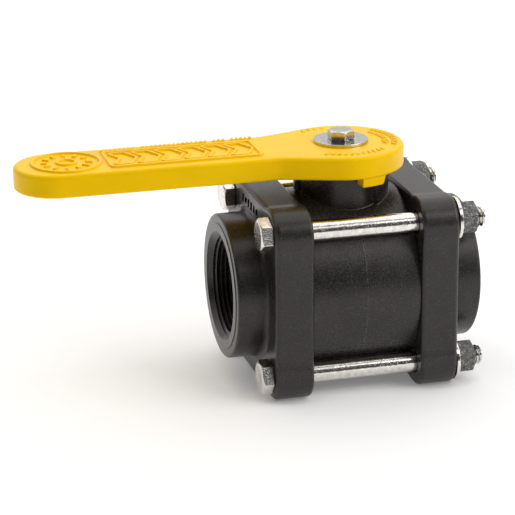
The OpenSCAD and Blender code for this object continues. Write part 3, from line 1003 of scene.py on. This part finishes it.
def standing(rise):
    # the height and the middle level of ornament rooted in the handle's top
    sunk = handleMarks["sunk"]
    return rise + sunk, valve["handleTop"] + (rise - sunk) / 2


def addChevronBand(obj, height, level, slot):
    marks = handleMarks
    left, right, near, far = (marks[k] for k in ("bandLeft", "bandRight", "bandNear", "bandFar"))
    frameLine = [(left, near), (right, near), (right, far), (left, far)]
    combine(obj, "UNION", outlineRidge(frameLine, marks["frameWidth"], height, level, slot,
                                       corner=marks["frameRound"]))
    count, (endGap, sideGap) = marks["chevrons"], marks["chevronGaps"]
    pitch = (right - left - marks["frameWidth"] - endGap) / count
    half, length, point = (far - near) / 2 - sideGap, marks["chevronLength"] / 2, marks["chevronPoint"] / 2
    chevron = [(-length - point, -half), (length - point, -half), (length + point, 0),
               (length - point, half), (-length - point, half), (-length + point, 0)]
    first = (left + right - pitch * (count - 1)) / 2, (near + far) / 2
    combine(obj, "UNION", outlineRidge(chevron, marks["chevronRidge"], height, level, slot, count, first,
                                       pitch, marks["chevronRound"]))


def addBadge(obj, height, level, slot):
    marks, middle = handleMarks, handleMarks["badgeAt"]
    for radius, width in marks["badgeRings"]:
        circle = arc(middle, 0, radius, 0, 360, 72)[:-1]
        combine(obj, "UNION", outlineRidge(circle, width, height, level, slot, corner=0.0))
    ribLine = arc(middle, 0, marks["badgeRibs"], 0, 350, 72)
    combine(obj, "UNION", markRow(ribLine, (*marks["badgeRib"], height), level, slot, marks["badgePitch"],
                                  slant=0.0, kept=1.0, seed=3))


def addHandleMarks(obj):
    # plain raised ornament: a framed band of chevrons, a round badge, a row and arcs of small ribs
    marks, slot = handleMarks, "yellow_plastic"
    height, level = standing(marks["rise"])
    addChevronBand(obj, height, level, slot)
    addBadge(obj, height, level, slot)
    combine(obj, "UNION", markRow(marks["rowPath"], (*marks["rowRib"], height), level, slot,
                                  marks["rowPitch"], marks["rowSlant"], kept=0.9, seed=5))
    height, level = standing(marks["arcRise"])
    for seed, (start, stop, radius) in enumerate(marks["arcs"], 11):
        bow = arc(0, 0, radius, start, stop, 24)
        combine(obj, "UNION", markRow(bow, (*marks["arcRib"], height), level, slot,
                                      marks["arcPitch"], marks["arcSlant"], kept=1.0, seed=seed))


def makeHandle():
    obj = makeHandleBlank()
    addHandleMarks(obj)
    combine(obj, "UNION", makeStopLug())
    drive, (driveLow, driveHigh) = lever["driveHalf"], lever["driveSpan"]
    combine(obj, "DIFFERENCE", block("drive", (-drive, -drive, driveLow), (drive, drive, driveHigh),
                                     lever["driveEdge"]))
    wall, low = lever["armHalf"] - lever["coreWall"], lever["underside"]
    for start in lever["coreStarts"]:
        combine(obj, "DIFFERENCE", block("core", (start, -wall, low - lever["coreMouth"]), (
            start + lever["coreLength"], wall, low + lever["coreDepth"]), lever["coreEdge"]))
    clean(obj, reach=0.0005)
    return finishPiece(obj, "lever", "yellow_plastic", "handle")


makeHandle()
print("handle made")


innerSlots = {
    "ball_plastic": ("ball",), "stem_plastic": ("stem",),
    "seat_ptfe": ("seat_left", "seat_right", "stem_thrust_washer"),
    "seal_rubber": ("stem_oring_lower", "stem_oring_upper", "seat_oring_left", "seat_oring_right",
                    "body_oring_left", "body_oring_right")}
for slot, nodes in innerSlots.items():
    for node in nodes:
        mesh = frame["nodes"][node].data
        mesh.materials.clear()
        mesh.materials.append(materials[slot])
print("inner parts painted")


studio = {
    "floorWidth": 9.0, "floorGlow": 0.16, "world": 0.08, "warmth": (1.0, 0.99, 0.975),
    "lamps": (  # name, place, target, size and power
        ("topBox", (0, 1.0, 1.25), (0, 1.0, 0), (5.0, 3.0), 61),
        ("backBox", (0.4, 2.5, 0.62), (0.4, 0, 0.62), (5.0, 1.2), 13),
        ("rightBox", (1.09, -0.85, 0.85), (0, 0, 0.02), (1.2, 1.0), 12),
        ("frontBox", (0.32, -0.98, 1.10), (0, 0, 0.02), (1.2, 0.55), 1.5))}


def makeFloor():
    half = studio["floorWidth"] / 2
    level = cadBounds[0][2]
    corners = [(x * half, y * half, level) for x, y in ((-1, -1), (1, -1), (1, 1), (-1, 1))]
    floor = addObject("floor", newMesh("floor", corners, faces=[(0, 1, 2, 3)]))
    material, graph, place = startMaterial("paleFloor")
    dust = noise(graph, place, 3.0)
    tone = graph.mix(dust, (0.87, 0.87, 0.87, 1), (0.90, 0.90, 0.90, 1))
    endMaterial(graph, {"Base Color": tone, "Roughness": 0.8, "Emission Color": (1.0, 1.0, 1.0, 1),
                        "Emission Strength": studio["floorGlow"]})
    floor.data.materials.append(material)


def addLamp(name, place, target, size, power):
    lamp = bpy.data.lights.new(name, "AREA")
    lamp.shape = "RECTANGLE"
    lamp.size, lamp.size_y = size
    lamp.energy = power
    lamp.color = studio["warmth"]
    obj = addObject(name, lamp)
    obj.location = place
    obj.rotation_euler = (Vector(target) - Vector(place)).to_track_quat("-Z", "Y").to_euler()


def makeStudio():
    world = bpy.data.worlds.new("studio")
    world.use_nodes = True
    background = world.node_tree.nodes["Background"]
    background.inputs["Color"].default_value = (1.0, 1.0, 1.0, 1)
    background.inputs["Strength"].default_value = studio["world"]
    scene.world = world
    for lamp in studio["lamps"]:
        addLamp(*lamp)
    scene.view_settings.view_transform = "Standard"
    scene.view_settings.look = "None"


view = {"azimuth": -14.84, "elevation": 18.61, "roll": 0.50, "distance": 1.0447,
        "across": 0.03915, "rise": -0.00789, "lens": 154.37, "sensor": 36, "clipEnd": 50}


def makeCamera():
    camera = bpy.data.cameras.new("camera")
    camera.lens = view["lens"]
    camera.sensor_width = view["sensor"]
    camera.clip_end = view["clipEnd"]
    obj = addObject("camera", camera)
    azimuth, elevation, roll = (radians(view[k]) for k in ("azimuth", "elevation", "roll"))
    back = Vector((sin(azimuth) * cos(elevation), -cos(azimuth) * cos(elevation), sin(elevation)))
    right = Vector((cos(azimuth), sin(azimuth), 0))
    up = back.cross(right)
    tilted = right * cos(roll) - up * sin(roll), right * sin(roll) + up * cos(roll)
    turn = Matrix((tilted[0], tilted[1], back)).transposed()
    place = turn @ Vector((-view["across"], -view["rise"], view["distance"]))
    obj.matrix_world = Matrix.Translation(place) @ turn.to_4x4()
    scene.camera = obj


makeFloor()
makeStudio()
makeCamera()
print("floor, light and camera made")
